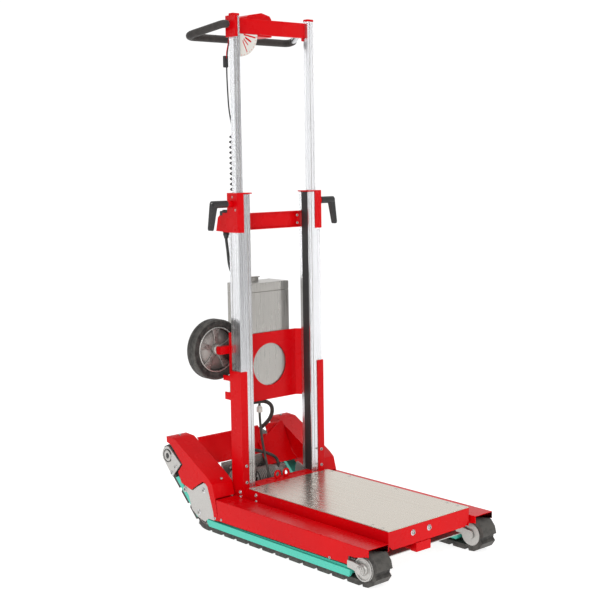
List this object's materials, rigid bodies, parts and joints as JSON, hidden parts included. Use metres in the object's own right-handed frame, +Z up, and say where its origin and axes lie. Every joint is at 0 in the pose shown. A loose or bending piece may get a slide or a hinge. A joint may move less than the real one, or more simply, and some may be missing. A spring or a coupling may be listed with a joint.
{
  "type": "tracked stair climbing trolley",
  "caption": "Battery crawler trolley with two rubber tracks, a steel load plate, a tilting two-mast frame, a telescopic push handle and a side transport wheel.",
  "frame": {"origin": "middle of the base of the whole machine, on the ground", "axes": "+Z up along the masts, -Y towards the front of the load plate, X across the machine from track to track"},
  "size_m": [0.5476, 0.979, 1.592],
  "materials": {
    "red_paint": "gloss",
    "mast_aluminium": "brushed",
    "rubber": "matte",
    "black_plastic": "matte",
    "slide_green": "satin",
    "zinc_steel": "satin",
    "plate_steel": "brushed",
    "box_steel": "satin",
    "white_plastic": "satin",
    "dark_steel": "satin",
    "grip_foam": "matte"
  },
  "bodies": {
    "chassis": {"rail_left": "red_paint", "rail_right": "red_paint", "chassis_frame": "dark_steel", "belly_pan": "zinc_steel", "track_guide_left": "slide_green", "track_guide_right": "slide_green", "rear_guide_left": "slide_green", "rear_guide_right": "slide_green", "bend_plate_left": "zinc_steel", "bend_plate_right": "zinc_steel", "end_plate_left": "zinc_steel", "end_plate_right": "zinc_steel", "tension_fork_left": "zinc_steel", "tension_fork_right": "zinc_steel", "arm_cover_left": "red_paint", "arm_cover_right": "red_paint", "cross_cover": "red_paint", "motor_cover": "red_paint", "drive_motor": "dark_steel", "belt_left": "rubber", "belt_right": "rubber"},
    "idler_left": {"idler_left": "zinc_steel"},
    "idler_right": {"idler_right": "zinc_steel"},
    "bend_roller_left": {"bend_roller_left": "dark_steel"},
    "bend_roller_right": {"bend_roller_right": "dark_steel"},
    "drive_axle": {"drive_axle": "dark_steel"},
    "actuator_cylinder": {"actuator_cylinder": "black_plastic"},
    "actuator_rod": {"actuator_rod": "zinc_steel"},
    "load_frame": {"load_tray": "red_paint", "load_plate": "plate_steel", "mast_left": "mast_aluminium", "mast_right": "mast_aluminium", "foot_cover_left": "red_paint", "foot_cover_right": "red_paint", "collar_left": "red_paint", "collar_right": "red_paint", "mid_crossbar": "red_paint", "tilt_shaft": "zinc_steel", "hole_plate": "red_paint", "battery_box": "box_steel", "signal_cable": "rubber", "battery_lid": "box_steel", "switch_box": "red_paint", "cable_lower": "black_plastic", "power_hose": "rubber", "cable_coil": "black_plastic", "cable_upper": "black_plastic"},
    "clamp_lever_left": {"clamp_lever_left": "black_plastic"},
    "clamp_lever_right": {"clamp_lever_right": "black_plastic"},
    "wheel_arm": {"wheel_arm": "red_paint"},
    "wheel": {"tyre": "rubber", "rim": "dark_steel"},
    "handle_frame": {"post_left": "mast_aluminium", "post_right": "mast_aluminium", "top_crossbar": "red_paint", "handle": "grip_foam", "control_box": "red_paint", "indicator_panel": "white_plastic"},
    "rocker_switch": {"rocker_switch": "black_plastic"},
    "stop_button": {"stop_button": "red_paint"}
  },
  "joints": [
    {"name": "tilt", "type": "hinge", "parent": "chassis", "child": "load_frame", "pos_m": [0.00575, 0.19271, 0.115], "axis": [-1, 0, 0], "range_deg": [0, 30], "deforming": ["power_hose"]},
    {"name": "telescope", "type": "slide", "parent": "load_frame", "child": "handle_frame", "axis": [0, 0, 1], "range_m": [-0.4, 0], "deforming": ["cable_coil", "cable_upper"]},
    {"name": "clamp_left", "type": "hinge", "parent": "load_frame", "child": "clamp_lever_left", "pos_m": [-0.19425, 0.19571, 1.015], "axis": [-1, 0, 0], "range_deg": [0, 120]},
    {"name": "clamp_right", "type": "hinge", "parent": "load_frame", "child": "clamp_lever_right", "pos_m": [0.20575, 0.19571, 1.015], "axis": [-1, 0, 0], "range_deg": [0, 120]},
    {"name": "wheel_swivel", "type": "hinge", "parent": "load_frame", "child": "wheel_arm", "pos_m": [-0.14925, 0.22871, 0.55], "axis": [0, 0, 1], "range_deg": [0, 60]},
    {"name": "wheel_spin", "type": "hinge", "parent": "wheel_arm", "child": "wheel", "pos_m": [-0.17925, 0.27971, 0.563], "axis": [0, 1, 0], "continuous": true},
    {"name": "drive_spin", "type": "hinge", "parent": "chassis", "child": "drive_axle", "pos_m": [0.00575, 0.45371, 0.205], "axis": [1, 0, 0], "continuous": true},
    {"name": "idler_left_spin", "type": "hinge", "parent": "chassis", "child": "idler_left", "pos_m": [-0.21125, -0.43929, 0.0505], "axis": [1, 0, 0], "continuous": true},
    {"name": "bend_left_spin", "type": "hinge", "parent": "chassis", "child": "bend_roller_left", "pos_m": [-0.21125, 0.26771, 0.056], "axis": [1, 0, 0], "continuous": true},
    {"name": "idler_right_spin", "type": "hinge", "parent": "chassis", "child": "idler_right", "pos_m": [0.22275, -0.43929, 0.0505], "axis": [1, 0, 0], "continuous": true},
    {"name": "bend_right_spin", "type": "hinge", "parent": "chassis", "child": "bend_roller_right", "pos_m": [0.22275, 0.26771, 0.056], "axis": [1, 0, 0], "continuous": true},
    {"name": "actuator_pivot", "type": "hinge", "parent": "chassis", "child": "actuator_cylinder", "pos_m": [0.00575, -0.15229, 0.078], "axis": [1, 0, 0], "range_deg": [-0.1, 1.08]},
    {"name": "actuator_stroke", "type": "slide", "parent": "actuator_cylinder", "child": "actuator_rod", "axis": [0, 0.9997, -0.0232], "range_m": [-0.02309, 0.0005]},
    {"name": "rocker", "type": "hinge", "parent": "handle_frame", "child": "rocker_switch", "pos_m": [-0.03325, 0.26621, 1.556], "axis": [1, 0, 0], "range_deg": [-6, 6], "stiffness_Nm_per_rad": 0.5},
    {"name": "stop_press", "type": "slide", "parent": "handle_frame", "child": "stop_button", "axis": [0, -1, 0], "range_m": [0, 0.004], "stiffness_N_per_m": 400}
  ],
  "couplings": [
    {"joint": "idler_left_spin", "follows": "drive_spin", "ratio": 0.57971},
    {"joint": "bend_left_spin", "follows": "drive_spin", "ratio": 0.5},
    {"joint": "idler_right_spin", "follows": "drive_spin", "ratio": 0.57971},
    {"joint": "bend_right_spin", "follows": "drive_spin", "ratio": 0.5},
    {"joint": "actuator_pivot", "follows": "tilt", "ratio": 0.032606},
    {"joint": "actuator_stroke", "follows": "tilt", "m_per_rad": -0.043137}
  ]
}
